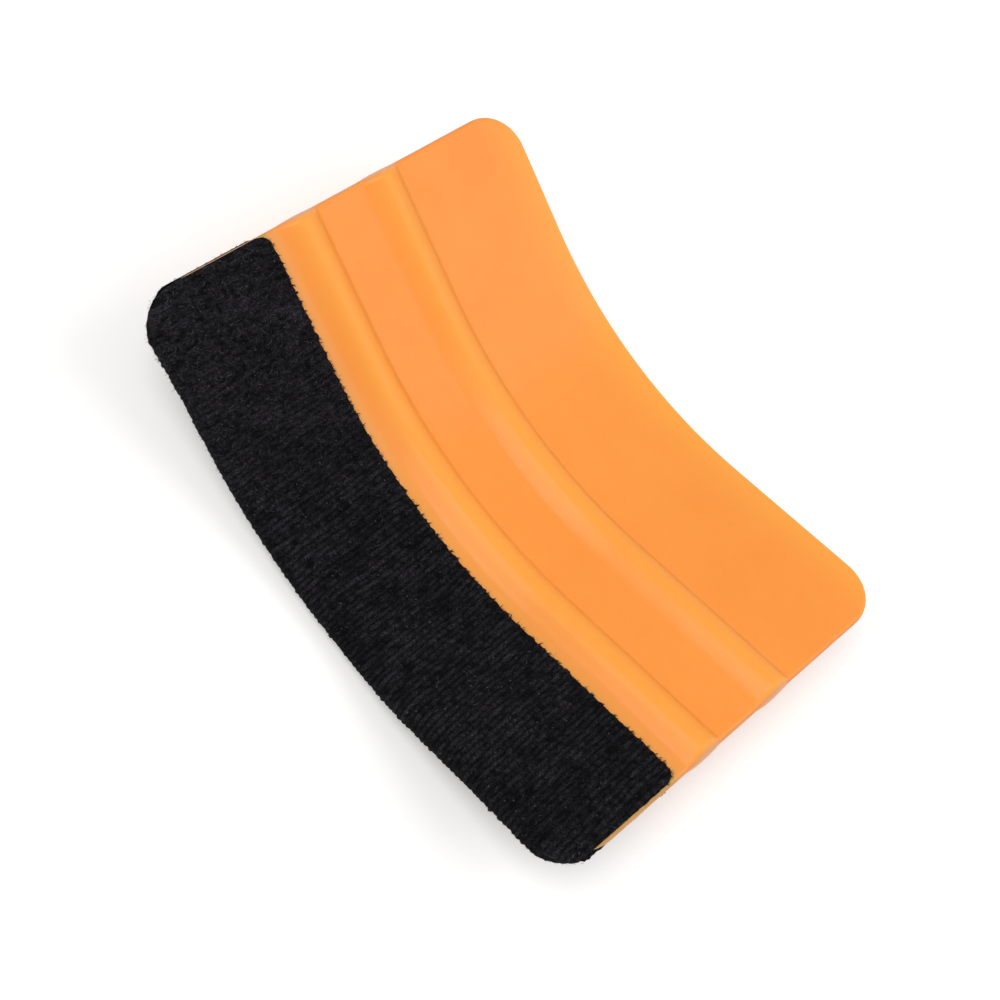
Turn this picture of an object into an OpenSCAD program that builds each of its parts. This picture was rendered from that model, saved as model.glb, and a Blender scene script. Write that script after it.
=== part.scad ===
// Felt-edge squeegee applicator: a flexed plastic card with two grip ridges on each face,
// and a felt strip folded over one long edge and held by an adhesive film.
//
// +X runs along the card, +Y runs across it from the felt edge to the blade edge, and +Z is up.
// The card is flexed about an axis along Y with its hollow face up, and lies balanced on its
// curved back. The origin is at the centre of the bottom of the whole part.

/* [Card] */
// Length of the card along its curve
card_length = 100; // [80:0.5:150]
// Width of the bare card from its felt edge to its blade edge
card_width = 69.5; // [66:0.5:100]
// Thickness at the two long edges
edge_thickness = 1.2; // [0.8:0.1:1.8]
// Thickness beside the grip ridges
root_thickness = 1.6; // [1:0.1:2.4]
// Thickness of the grip panel between the ridges
panel_thickness = 1.9; // [1.2:0.1:2.6]
// Radius of the two corners at the felt edge
felt_corner_radius = 7.5; // [3:0.5:10]
// Radius of the two corners at the blade edge
blade_corner_radius = 7.3; // [3:0.1:10]

/* [Grip ridges] */
// Distance from the blade edge to the middle of the grip panel
grip_from_blade = 34.5; // [28:0.1:38]
// Distance between the crests of the two ridges
ridge_spacing = 15.6; // [12:0.1:20]
// Width of one ridge at its foot
ridge_width = 6.4; // [4:0.1:8]
// Height of one ridge above each face
ridge_height = 1.8; // [0.6:0.1:2]
// Radius that rounds off the two ends of a ridge
ridge_end_radius = 0.8; // [0.4:0.1:2.2]

/* [Felt strip] */
// Thickness of the felt
felt_thickness = 1.1; // [0.6:0.1:2]
// How far each flap covers the card, from the card's felt edge
flap_depth = 21.2; // [12:0.1:24]
// How far the felt stops short of each end of the card
felt_end_gap = 0.4; // [0.2:0.1:3]
// Thickness of the adhesive film under the felt
film_thickness = 0.15; // [0.1:0.05:0.4]
// How far the film stays back from the cut edges of the felt
film_inset = 0.6; // [0.2:0.1:3]

/* [Flex] */
// Angle between the two straight ends of the flexed card
bend_angle = 42.3; // [8:0.1:60]
// Length of the curved stretch
bend_length = 48.2; // [30:0.1:60]
// Middle of the curved stretch, from the middle of the card
bend_offset = -4.6; // [-8:0.1:8]

/* [Hidden] */
$fn = 96;

// Overshoot of the cutting shapes
cut = 2;
// How far the bend is swept past its left seam before it is cut there, in degrees
lap_angle = 2;

// Bend: a circular arc with a straight stretch at each end
half_bend = bend_angle / 2;
bend_radius = bend_length * 180 / (bend_angle * PI);
right_length = card_length / 2 - bend_offset - bend_length / 2;
left_length = card_length / 2 + bend_offset - bend_length / 2;

// Balance: the card leans until its middle of mass is right below the bend's centre
function reach_of(len) = bend_radius * sin(half_bend) + len / 2 * cos(half_bend);
function drop_of(len) = bend_radius * cos(half_bend) - len / 2 * sin(half_bend);
moment_along = right_length * reach_of(right_length) - left_length * reach_of(left_length);
moment_down = 2 * pow(bend_radius, 2) * sin(half_bend)
    + right_length * drop_of(right_length)
    + left_length * drop_of(left_length);
lean = atan2(moment_along, moment_down);
right_rise = half_bend - lean;
left_rise = half_bend + lean;

// Levels across the card's thickness, from its mid-surface
crest_level = root_thickness / 2 + ridge_height;
wrap_thickness = film_thickness + felt_thickness;
card_reach = card_width + cut;

// Places across the card, from its felt edge
grip_middle = card_width - grip_from_blade;
felt_ridge_middle = grip_middle - ridge_spacing / 2;
blade_ridge_middle = grip_middle + ridge_spacing / 2;

// Where the bend's centre stands, so that the part is centred over the origin and rests at Z = 0.
// The rounded ends of the ridges reach furthest along X.
function end_of(rise, len) = (bend_radius + crest_level - ridge_end_radius) * sin(rise)
    + (len - ridge_end_radius) * cos(rise) + ridge_end_radius;
centre_x = (end_of(left_rise, left_length) - end_of(right_rise, right_length)) / 2;
centre_z = bend_radius + crest_level;
felt_edge_y = -(card_width - wrap_thickness) / 2;

// Half thickness of the tapered stretch between a long edge and its ridge
function half_thickness(from_edge, root_at) = edge_thickness / 2
    + (root_thickness - edge_thickness) / 2
    * (from_edge - edge_thickness / 2) / (root_at - edge_thickness / 2);

// Tapered blade with a round edge at 0, grown by a margin all round, out to a given reach.
// Its thickness reaches root_thickness at root_at.
module blade_2d(root_at, margin, reach) {
    near = edge_thickness / 2 + margin;
    far = half_thickness(reach, root_at) + margin;
    translate([edge_thickness / 2, 0]) circle(r = near);
    polygon([[edge_thickness / 2, -near], [reach, -far], [reach, far], [edge_thickness / 2, near]]);
}

// Cross-section of one ridge, the same on both faces: where two equal circles overlap
module ridge_2d() {
    half_width = ridge_width / 2;
    radius = (pow(half_width, 2) + pow(ridge_height, 2)) / (2 * ridge_height);
    intersection() {
        translate([0, crest_level - radius]) circle(r = radius);
        translate([0, radius - crest_level]) circle(r = radius);
    }
}

// Cross-section of the card: X is the distance from the felt edge, Y the level across the thickness
module card_2d() {
    blade_2d(felt_ridge_middle, 0, felt_ridge_middle);
    translate([card_width, 0]) mirror([1, 0])
        blade_2d(card_width - blade_ridge_middle, 0, card_width - blade_ridge_middle);
    translate([felt_ridge_middle, -panel_thickness / 2]) square([ridge_spacing, panel_thickness]);
    translate([felt_ridge_middle, 0]) ridge_2d();
    translate([blade_ridge_middle, 0]) ridge_2d();
}

// Cross-section of a layer that wraps the felt edge, between two margins off the card
module wrap_2d(inner, outer, reach) {
    difference() {
        blade_2d(felt_ridge_middle, outer, reach);
        blade_2d(felt_ridge_middle, inner, reach + cut);
    }
}

// Turns about the bend's centre to where one straight stretch begins, with the stretch running
// along +X from there: 1 is the right stretch, -1 the left
module at_seam(side) {
    translate([centre_x, felt_edge_y, centre_z]) rotate([0, lean, 0])
        mirror([side > 0 ? 0 : 1, 0, 0]) rotate([0, -half_bend, 0]) children();
}

// Places the same point on the card's mid-surface
module at_end(side) {
    at_seam(side) translate([0, 0, -bend_radius]) children();
}

function straight_of(side) = side > 0 ? right_length : left_length;

// Sweeps a cross-section round the bend from the right seam, past the left one, and cuts it there
module sweep_bend() {
    depth = 2 * (crest_level + cut);
    difference() {
        at_seam(1) rotate([-90, 90, 0]) rotate_extrude(angle = bend_angle + lap_angle)
            translate([bend_radius, 0]) rotate(90) children();
        at_end(-1) translate([0, -wrap_thickness - cut, -depth / 2])
            cube([depth, card_width + wrap_thickness + 2 * cut, depth]);
    }
}

// Sweeps a cross-section along the whole curve, each end short by end_gap
module sweep_along(end_gap) {
    sweep_bend() children();
    for (side = [-1, 1])
        at_end(side) rotate([90, 0, 90])
            linear_extrude(height = straight_of(side) - end_gap) children();
}

// What rounding one corner takes away: a square block outside a round post
module corner_waste(radius) {
    size = radius + cut;
    difference() {
        translate([0, 0, -bend_radius / 2]) cube([size, size, bend_radius]);
        translate([0, 0, -bend_radius / 2 - cut]) cylinder(r = radius, h = bend_radius + 2 * cut);
    }
}

// The waste of all four corners, shared by the card and the strip that is trimmed with it
module corners_waste() {
    for (side = [-1, 1])
        at_end(side) {
            translate([straight_of(side) - felt_corner_radius, felt_corner_radius - wrap_thickness, 0])
                mirror([0, 1, 0]) corner_waste(felt_corner_radius);
            translate([straight_of(side) - blade_corner_radius, card_width - blade_corner_radius, 0])
                corner_waste(blade_corner_radius);
        }
}

// The waste that rounds off the ends of the ridges on both faces
module ridge_ends_waste() {
    for (side = [-1, 1], face = [-1, 1])
        at_end(side) translate([straight_of(side) - ridge_end_radius, -cut, 0])
            mirror([0, 0, face > 0 ? 0 : 1]) translate([0, 0, crest_level - ridge_end_radius])
            difference() {
                cube([ridge_end_radius + cut, card_reach + cut, ridge_end_radius + cut]);
                translate([0, -cut, 0]) rotate([-90, 0, 0])
                    cylinder(r = ridge_end_radius, h = card_reach + 3 * cut);
            }
}

// The moulded card
module card() {
    color("orange") difference() {
        sweep_along(0) card_2d();
        corners_waste();
        ridge_ends_waste();
    }
}

// The adhesive film, which bonds the felt to both faces and round the edge
module felt_adhesive() {
    color("burlywood") difference() {
        sweep_along(felt_end_gap + film_inset) wrap_2d(0, film_thickness, flap_depth - film_inset);
        corners_waste();
    }
}

// The felt strip, folded over the felt edge
module felt_strip() {
    color("black") difference() {
        sweep_along(felt_end_gap) wrap_2d(film_thickness, wrap_thickness, flap_depth);
        corners_waste();
    }
}

card();
felt_adhesive();
felt_strip();
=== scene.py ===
"""Felt-edge squeegee applicator: a flexed orange card with a black felt strip over one edge."""

import math

import bmesh
import bpy
import numpy as np
from bpy.props import FloatProperty, FloatVectorProperty, IntProperty, PointerProperty
from mathutils import Matrix, Vector


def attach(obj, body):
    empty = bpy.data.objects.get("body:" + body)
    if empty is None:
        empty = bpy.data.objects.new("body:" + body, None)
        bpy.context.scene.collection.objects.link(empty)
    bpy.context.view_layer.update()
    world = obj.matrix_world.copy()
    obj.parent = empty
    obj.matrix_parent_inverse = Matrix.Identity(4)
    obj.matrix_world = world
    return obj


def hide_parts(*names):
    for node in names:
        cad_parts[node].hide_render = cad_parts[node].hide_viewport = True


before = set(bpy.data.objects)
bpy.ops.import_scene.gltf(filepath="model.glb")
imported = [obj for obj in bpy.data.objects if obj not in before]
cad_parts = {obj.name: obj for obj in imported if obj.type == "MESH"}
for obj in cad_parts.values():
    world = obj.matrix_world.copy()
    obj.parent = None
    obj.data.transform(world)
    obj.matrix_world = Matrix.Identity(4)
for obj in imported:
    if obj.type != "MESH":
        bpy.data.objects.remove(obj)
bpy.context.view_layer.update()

bl_info = {
    "name": "Felt-edge applicator",
    "version": (1, 0, 0),
    "blender": (4, 5, 0),
    "location": "3D View > Sidebar > Applicator",
    "description": "Builds a flexed applicator card with grip ridges and a folded felt strip",
    "category": "Add Mesh",
}

MM = 0.001
ROOT_BODY = "root"

TINY = 0.001 * MM
# Straight run-out of the flex line past each end of the card, so that nothing is bent beyond it
RUN_OUT = 6 * MM
# Distance between the control points of the flex line
FLEX_STEP = 2.5 * MM
# A ridge's rounded end runs this much farther along the card than its radius
END_EXTRA = 0.2 * MM
# How far a place has to stand above the card's face to belong to a ridge
RIDGE_SKIN = 0.05 * MM
# ---------------------------------------------------------------- sizes that a user would change


def length_property(name, description, default_mm, low_mm, high_mm):
    return FloatProperty(
        name=name,
        description=description,
        default=default_mm * MM,
        min=low_mm * MM,
        max=high_mm * MM,
        precision=5,
        unit="LENGTH",
    )


def angle_property(name, description, default_deg, low_deg=-180, high_deg=180):
    return FloatProperty(
        name=name,
        description=description,
        default=math.radians(default_deg),
        min=math.radians(low_deg),
        max=math.radians(high_deg),
        unit="ROTATION",
    )


def number_property(name, description, default, low=0, high=1):
    return FloatProperty(name=name, description=description, default=default, min=low, max=high)


def colour_property(name, description, default):
    return FloatVectorProperty(
        name=name,
        description=description,
        default=default,
        min=0.0,
        max=1.0,
        size=3,
        subtype="COLOR",
    )


class APPLICATOR_PG_card(bpy.types.PropertyGroup):
    length: length_property("Length", "Length of the card along its curve", 100, 80, 150)
    width: length_property("Width", "Bare card from its felt edge to its blade edge", 69.5, 66, 100)
    edge_thickness: length_property("Edge thickness", "Thickness at the long edges", 1.2, 0.8, 1.8)
    root_thickness: length_property("Root thickness", "Thickness beside the ridges", 1.6, 1, 2.4)
    panel_thickness: length_property("Panel thickness", "Thickness of the grip panel", 1.9, 1.2, 2.6)
    felt_corner: length_property("Felt corners", "Radius of the felted corners", 6.4, 3, 10)
    tucked_corner: length_property("Tucked corners", "Radius of the card inside them", 8, 3, 11)
    blade_corner: length_property("Blade corners", "Radius of the blade edge's corners", 7.3, 3, 10)
    grip_from_blade: length_property("Grip place", "Blade edge to the middle of the panel", 34.5, 28, 38)
    ridge_spacing: length_property("Ridge spacing", "Between the crests of the two ridges", 15.6, 12, 20)
    ridge_width: length_property("Ridge width", "Width of one ridge at its foot", 6.4, 6, 8)
    ridge_height: length_property("Ridge height", "Height of a ridge above each face", 1.8, 0.6, 2)
    ridge_end: length_property("Ridge end", "Radius that rounds off the end of a ridge", 0.8, 0.4, 2.2)
    back_end: number_property("Back ridge ends", "Their length beside those in front", 0.35, 0.1, 1)
    ridge_foot: length_property("Ridge foot", "Hollow at a ridge's foot on the blade side", 0.45, 0.1, 2)
    ridge_slope: length_property("Ridge slope", "How far a ridge runs out toward the felt", 4.3, 3, 4.3)
    bend_angle: angle_property("Bend", "Angle between the card's two straight ends", 42.3, 8, 60)
    bend_length: length_property("Bend length", "Length of the curved stretch", 48.2, 30, 60)
    bend_offset: length_property("Bend offset", "Middle of the curve from the card's", -4.6, -8, 8)
    colour: colour_property("Orange", "Colour of the moulded plastic", (0.95, 0.325, 0.052))
    deep_colour: colour_property("Deep orange", "Denser streaks in the plastic", (0.92, 0.30, 0.045))
    # Painted shade: this colour is painted on the rounded rim of both ends as its shade; its fine grain
    # over the card is the plastic's own
    rim_shade_and_grain_colour: colour_property("Rim", "Colour of the rounded edge at both ends", (0.60, 0.21, 0.09))
    # Painted light: paler orange on the blade edge, standing for light through the plastic, and a
    # painted highlight on the ridge crests
    painted_light_colour: colour_property("Lit plastic", "Colour of blade edge and crests", (0.97, 0.40, 0.056))
    # Painted shade: darker ochre on the card under the felt, where the black felt keeps light out
    under_felt_shade_colour: colour_property("Glue", "Colour of the glued card under the felt", (0.50, 0.315, 0.075))
    # Painted shadow: darker orange on the card along the felt's edge
    felt_shadow_colour: colour_property("Tan", "Colour of the card beside the felt", (0.74, 0.35, 0.088))


class APPLICATOR_PG_felt(bpy.types.PropertyGroup):
    thickness: length_property("Thickness", "Thickness of the felt", 1.1, 0.6, 2)
    film: length_property("Film", "Thickness of the adhesive film under the felt", 0.15, 0.1, 0.4)
    film_inset: length_property("Film inset", "How far it stays back from the cut edges", 0.6, 0.2, 3)
    flap_depth: length_property("Flap depth", "How far each flap covers the card", 21.2, 12, 24)
    end_gap: length_property("End gap", "How far it stops short of the right end", 0.4, 0.2, 3)
    inner_corner: length_property("Flap corners", "Radius of the cut corners of a flap", 1.9, 0.5, 4)
    rib_pitch: length_property("Rib pitch", "Distance between two ribs of the knit", 0.873, 0.5, 2)
    rib_height: length_property("Rib height", "How far a rib stands above its groove", 0.3, 0.02, 0.4)
    nap_length: length_property("Nap length", "Length of the raised fibres", 0.36, 0.1, 1)
    nap_count: IntProperty(
        name="Nap fibres",
        description="Raised fibres on each half of the strip",
        default=46000,
        min=1000,
        max=48000,
    )
    film_colour: colour_property("Film", "Colour of the adhesive film", (0.52, 0.33, 0.10))
    film_shade: colour_property("Film shade", "Colour of its darker patches", (0.30, 0.17, 0.05))
    colour: colour_property("Black", "Colour of the felt", (0.0086, 0.0080, 0.0098))
    fleck_colour: colour_property("Fleck", "Colour of the palest fibres", (0.15, 0.143, 0.16))


class APPLICATOR_PG_stage(bpy.types.PropertyGroup):
    azimuth: angle_property("Azimuth", "Way round the part, from in front of the felt edge", 10.09)
    elevation: angle_property("Elevation", "Height of the camera above the horizon", 58.72, -90, 90)
    roll: angle_property("Roll", "Turn of the camera about its own axis", -43.06)
    distance: length_property("Distance", "From the camera to its aim", 258.8, 100, 2000)
    lens: number_property("Lens", "Focal length on a 36 mm sensor, in millimetres", 63.3, 20, 200)
    aim: FloatVectorProperty(
        name="Aim",
        description="Where the camera looks, from the middle of the part's base",
        default=(1.1 * MM, -1.73 * MM, 5.3 * MM),
        size=3,
        unit="LENGTH",
    )
    floor_colour: colour_property("Floor", "Colour of the floor", (0.88, 0.88, 0.88))
    floor_lift: number_property("Floor lift", "Added to the floor where it is seen directly", 0.2)
    fill_level: number_property("Fill", "Strength of the soft light from all round", 0.42)


# ---------------------------------------------------------------- the card's shape as formulas


def smooth_max(a, b, blend):
    """The larger of two levels, with a fillet of that size where they cross."""
    near = np.clip(blend - np.abs(a - b), 0, None) / blend
    return np.maximum(a, b) + near * near * blend / 4


def ease(share):
    """A share between 0 and 1 that sets out and arrives slowly."""
    return share * share * (3 - 2 * share)


def smooth_step(value, start, end):
    """From 0 at the start to 1 at the end, level at both."""
    return ease(np.clip((value - start) / (end - start), 0, 1))


class Shape:
    """Levels and places on the flat card. X runs along it from the start of the flex line, Y is
    the part's own, Z is the level over the mid-surface, and across is from the felt edge."""

    def __init__(self, card, felt):
        self.card = card
        self.felt = felt
        self.wrap = felt.film + felt.thickness
        self.felt_y = -(card.width - self.wrap) / 2
        self.middle = RUN_OUT + card.length / 2
        panel_middle = card.width - card.grip_from_blade
        self.ridges = (
            panel_middle - card.ridge_spacing / 2,
            panel_middle + card.ridge_spacing / 2,
        )
        self.crest = card.root_thickness / 2 + card.ridge_height
        self.end_run = card.ridge_end + END_EXTRA
        self.bend_radius = card.bend_length / card.bend_angle
        self.right = card.length / 2 - card.bend_offset - card.bend_length / 2
        self.left = card.length / 2 + card.bend_offset - card.bend_length / 2
        self.lean = self.balance()
        half = card.bend_angle / 2
        self.shift = (
            self.end_of(half + self.lean, self.left) - self.end_of(half - self.lean, self.right)
        ) / 2

    def balance(self):
        """The lean at which the flexed card rests on its back."""
        radius, half = self.bend_radius, self.card.bend_angle / 2
        sine, cosine = math.sin(half), math.cos(half)
        along, down = 0, 2 * radius**2 * sine
        for run, side in ((self.right, 1), (self.left, -1)):
            along += side * run * (radius * sine + run / 2 * cosine)
            down += run * (radius * cosine - run / 2 * sine)
        return math.atan2(along, down)

    def end_of(self, rise, run):
        """How far one end reaches along X."""
        rounding = self.card.ridge_end
        reach = (self.bend_radius + self.crest - rounding) * math.sin(rise)
        return reach + (run - rounding) * math.cos(rise) + rounding

    def flex_point(self, x):
        """Point of the flexed mid-surface at a place on the flat one."""
        card = self.card
        seam_right = card.length / 2 - self.right
        seam_left = self.left - card.length / 2
        place = x - self.middle
        on_arc = min(max(place, seam_left), seam_right)
        turn = card.bend_angle / 2 - self.lean - (seam_right - on_arc) / self.bend_radius
        past = place - on_arc
        return Vector(
            (
                self.shift + self.bend_radius * math.sin(turn) + past * math.cos(turn),
                0,
                self.bend_radius * (1 - math.cos(turn)) + self.crest + past * math.sin(turn),
            )
        )

    def base(self, across):
        """Half thickness without the ridges."""
        card = self.card
        half_edge, half_root = card.edge_thickness / 2, card.root_thickness / 2
        places = (half_edge, self.ridges[0], self.ridges[1], card.width - half_edge)
        level = np.interp(across, places, (half_edge, half_root, half_root, half_edge))
        ramp = card.ridge_width / 2
        inside = np.minimum(across - self.ridges[0], self.ridges[1] - across)
        step = (card.panel_thickness - card.root_thickness) / 2
        return level + step * np.clip(inside / ramp, 0, 1)

    def ridge(self, across):
        """How far the ridges stand above the base."""
        card = self.card
        total = 0 * np.asarray(across, float)
        half_width = card.ridge_width / 2
        radius = (half_width**2 + card.ridge_height**2) / (2 * card.ridge_height)
        for middle in self.ridges:
            round_top = np.sqrt(np.clip(radius**2 - (across - middle) ** 2, 0, None))
            bump = round_top - radius + card.ridge_height
            crisp = smooth_max(bump, 0 * bump, card.ridge_foot)
            turn = math.pi * np.clip((middle - across) / card.ridge_slope, 0, 1)
            soft = card.ridge_height * (0.5 + 0.5 * np.cos(turn))
            total = np.maximum(total, np.where(across < middle, soft, crisp))
        return total

    def end_rise(self, from_end):
        """Share of its height that a ridge has at a distance from the card's end."""
        run = np.clip(1 - from_end / self.end_run, 0, 1)
        return np.sqrt(1 - run * run)

    def felt_point(self, around, level):
        """Across and Z on the folded strip, from the distance round its outside and the level
        over the film."""
        centre = self.card.edge_thickness / 2
        outside = centre + self.wrap
        quarter = outside * math.pi / 2
        turn = np.clip(around, -quarter, quarter) / outside
        radius = centre + self.felt.film + level
        past = np.clip(np.abs(around) - quarter, 0, None)
        across = centre + past - radius * np.cos(turn) * (past <= 0)
        flat_level = self.base(centre + past) + self.felt.film + level
        z = np.where(past > 0, np.sign(around) * flat_level, radius * np.sin(turn))
        return across, z


def shape_of(context):
    return Shape(context.scene.applicator_card, context.scene.applicator_felt)


# ---------------------------------------------------------------- small tools for the operators


def deselect_all():
    if bpy.context.object and bpy.context.object.mode != "OBJECT":
        bpy.ops.object.mode_set(mode="OBJECT")
    bpy.ops.object.select_all(action="DESELECT")


def make_active(piece):
    deselect_all()
    piece.select_set(True)
    bpy.context.view_layer.objects.active = piece


def edit(piece, mode="VERT"):
    make_active(piece)
    bpy.ops.object.mode_set(mode="EDIT")
    bpy.ops.mesh.select_mode(type=mode)


def pick_vertices(piece, test):
    """Selects the vertices whose place passes the test, in edit mode."""
    bpy.ops.mesh.select_all(action="DESELECT")
    mesh = bmesh.from_edit_mesh(piece.data)
    for vertex in mesh.verts:
        vertex.select = test(vertex.co)
    mesh.select_flush_mode()
    bmesh.update_edit_mesh(piece.data)


def pick_faces(piece, test):
    """Selects the faces whose middle and normal pass the test, in edit mode."""
    bpy.ops.mesh.select_all(action="DESELECT")
    mesh = bmesh.from_edit_mesh(piece.data)
    for face in mesh.faces:
        face.select = test(face.calc_center_median(), face.normal)
    mesh.select_flush_mode()
    bmesh.update_edit_mesh(piece.data)


def score(axis, places):
    """Cuts an edge line right across the piece at each place, in edit mode."""
    normal = Vector((axis == "X", axis == "Y", 0))
    for place in places:
        bpy.ops.mesh.select_all(action="SELECT")
        bpy.ops.mesh.bisect(plane_co=normal * place, plane_no=normal)


def apply_modifier(piece, kind, **settings):
    make_active(piece)
    modifier = piece.modifiers.new(kind.title(), kind)
    for name, value in settings.items():
        setattr(modifier, name, value)
    bpy.ops.object.modifier_apply(modifier=modifier.name)


def flex(piece, shape, smooth_angle=math.radians(40)):
    """Bends a flat piece along the flexed card."""
    span = shape.card.length + 2 * RUN_OUT
    count = 2 + round(span / FLEX_STEP)
    curve = bpy.data.curves.new("flex_line", "CURVE")
    curve.dimensions = "3D"
    curve.twist_mode = "Z_UP"
    curve.resolution_u = 12
    spline = curve.splines.new("NURBS")
    spline.points.add(count - 1)
    for index, point in enumerate(spline.points):
        point.co = (*shape.flex_point(index * span / (count - 1)), 1)
    spline.order_u = 4
    spline.use_endpoint_u = True
    line = bpy.data.objects.new("flex_line", curve)
    bpy.context.collection.objects.link(line)
    apply_modifier(piece, "CURVE", object=line, deform_axis="POS_X")
    bpy.data.objects.remove(line)
    bpy.data.curves.remove(curve)
    if smooth_angle:
        make_active(piece)
        bpy.ops.object.shade_smooth_by_angle(angle=smooth_angle)


def vertex_places(piece):
    flat = np.empty(len(piece.data.vertices) * 3)
    piece.data.vertices.foreach_get("co", flat)
    return flat.reshape(-1, 3)


def add_mark(piece, name, values):
    """Gives each vertex a value for the material."""
    layer = piece.data.attributes.new(name, "FLOAT", "POINT")
    layer.data.foreach_set("value", values)


def grid_index(grid):
    """The order of a grid's points, as a grid."""
    return np.arange(grid.shape[0] * grid.shape[1]).reshape(grid.shape[:2])


def unit(vectors):
    return vectors / np.linalg.norm(vectors, axis=1)[:, None]


def build_mesh(name, points, polygons, sides):
    """A mesh piece from arrays, all its faces with the same number of sides."""
    mesh = bpy.data.meshes.new(name)
    mesh.vertices.add(len(points))
    mesh.vertices.foreach_set("co", np.ascontiguousarray(points, np.float32).ravel())
    mesh.loops.add(polygons.size)
    mesh.loops.foreach_set("vertex_index", np.ascontiguousarray(polygons, np.int32).ravel())
    mesh.polygons.add(len(polygons))
    mesh.polygons.foreach_set("loop_start", np.arange(0, polygons.size, sides, dtype=np.int32))
    mesh.update(calc_edges=True)
    piece = bpy.data.objects.new(name, mesh)
    bpy.context.collection.objects.link(piece)
    return piece


def cloud(a, b, pitch, seed, count=257):
    """Smooth random hills between -1 and 1 over two coordinates, the same again after that count."""
    grid = np.random.default_rng(seed).uniform(-1, 1, (count, count))
    a, b = np.asarray(a) / pitch, np.asarray(b) / pitch
    left, low = np.floor(a).astype(int), np.floor(b).astype(int)
    x, y = a - left, b - low
    x, y = ease(x), ease(y)
    side, lower = left % count, low % count
    right, upper = (left + 1) % count, (low + 1) % count
    bottom = grid[side, lower] * (1 - x) + grid[right, lower] * x
    top = grid[side, upper] * (1 - x) + grid[right, upper] * x
    return bottom * (1 - y) + top * y


# ---------------------------------------------------------------- materials


def add_node(tree, kind, inputs=None, **settings):
    """A shader node with its settings, each of its inputs a value or another node's socket."""
    made = tree.nodes.new("ShaderNode" + kind)
    for name, value in settings.items():
        setattr(made, name, value)
    for name, value in (inputs or {}).items():
        if isinstance(value, bpy.types.NodeSocket):
            tree.links.new(value, made.inputs[name])
        else:
            made.inputs[name].default_value = value
    return made


def as_colour(value):
    """A colour as a node takes it, or the socket that gives one."""
    return value if isinstance(value, bpy.types.NodeSocket) else (*value[:3], 1)


def seen_directly(tree, strength):
    """A strength that holds for what the camera, reflections and see-through parts show."""
    rays = add_node(tree, "LightPath").outputs
    shown = rays["Is Camera Ray"]
    for kind in ("Is Glossy Ray", "Is Transmission Ray"):
        shown = add_node(tree, "Math", {0: shown, 1: rays[kind]}, operation="MAXIMUM").outputs[0]
    return add_node(tree, "Math", {0: shown, 1: strength}, operation="MULTIPLY").outputs[0]


class Finish:
    """A material with one Principled shader, and short ways to add its pattern nodes."""

    def __init__(self, name, **settings):
        self.material = bpy.data.materials.new(name)
        self.material.use_nodes = True
        self.tree = self.material.node_tree
        self.shader = self.tree.nodes["Principled BSDF"]
        for label, value in settings.items():
            self.shader.inputs[label.replace("_", " ")].default_value = value

    def node(self, kind, inputs=None, **settings):
        return add_node(self.tree, kind, inputs, **settings)

    def set(self, label, socket):
        self.tree.links.new(socket, self.shader.inputs[label])

    def object_place(self):
        return self.node("TexCoord").outputs["Object"]

    def mark(self, name):
        """The value of that name that the piece's vertices carry."""
        return self.node("Attribute", attribute_name=name).outputs["Fac"]

    def noise(self, place, size, detail=3.0, roughness=0.55):
        """Noise whose features are about the given size."""
        inputs = {"Vector": place, "Scale": 1 / size, "Detail": detail, "Roughness": roughness}
        return self.node("TexNoise", inputs).outputs["Fac"]

    def stretch(self, place, scale):
        return self.node("Mapping", {"Vector": place, "Scale": scale}).outputs["Vector"]

    def span(self, value, low, high, to_low=0.0, to_high=1.0):
        """A value between low and high, brought between the other two."""
        inputs = {
            "Value": value,
            "From Min": low,
            "From Max": high,
            "To Min": to_low,
            "To Max": to_high,
        }
        return self.node("MapRange", inputs).outputs["Result"]

    def math(self, operation, first, second):
        return self.node("Math", {0: first, 1: second}, operation=operation).outputs[0]

    def times(self, first, second):
        return self.math("MULTIPLY", first, second)

    def blend(self, share, first, second, mode="MIX"):
        inputs = {0: share, 6: as_colour(first), 7: as_colour(second)}
        return self.node("Mix", inputs, data_type="RGBA", blend_type=mode).outputs[2]

    def bump(self, heights, depth, **under):
        """Relief of the given depth from a height between 0 and 1, over another if one is given."""
        inputs = {"Height": heights, "Distance": depth, "Strength": 1.0, **under}
        return self.node("Bump", inputs).outputs["Normal"]


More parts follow.
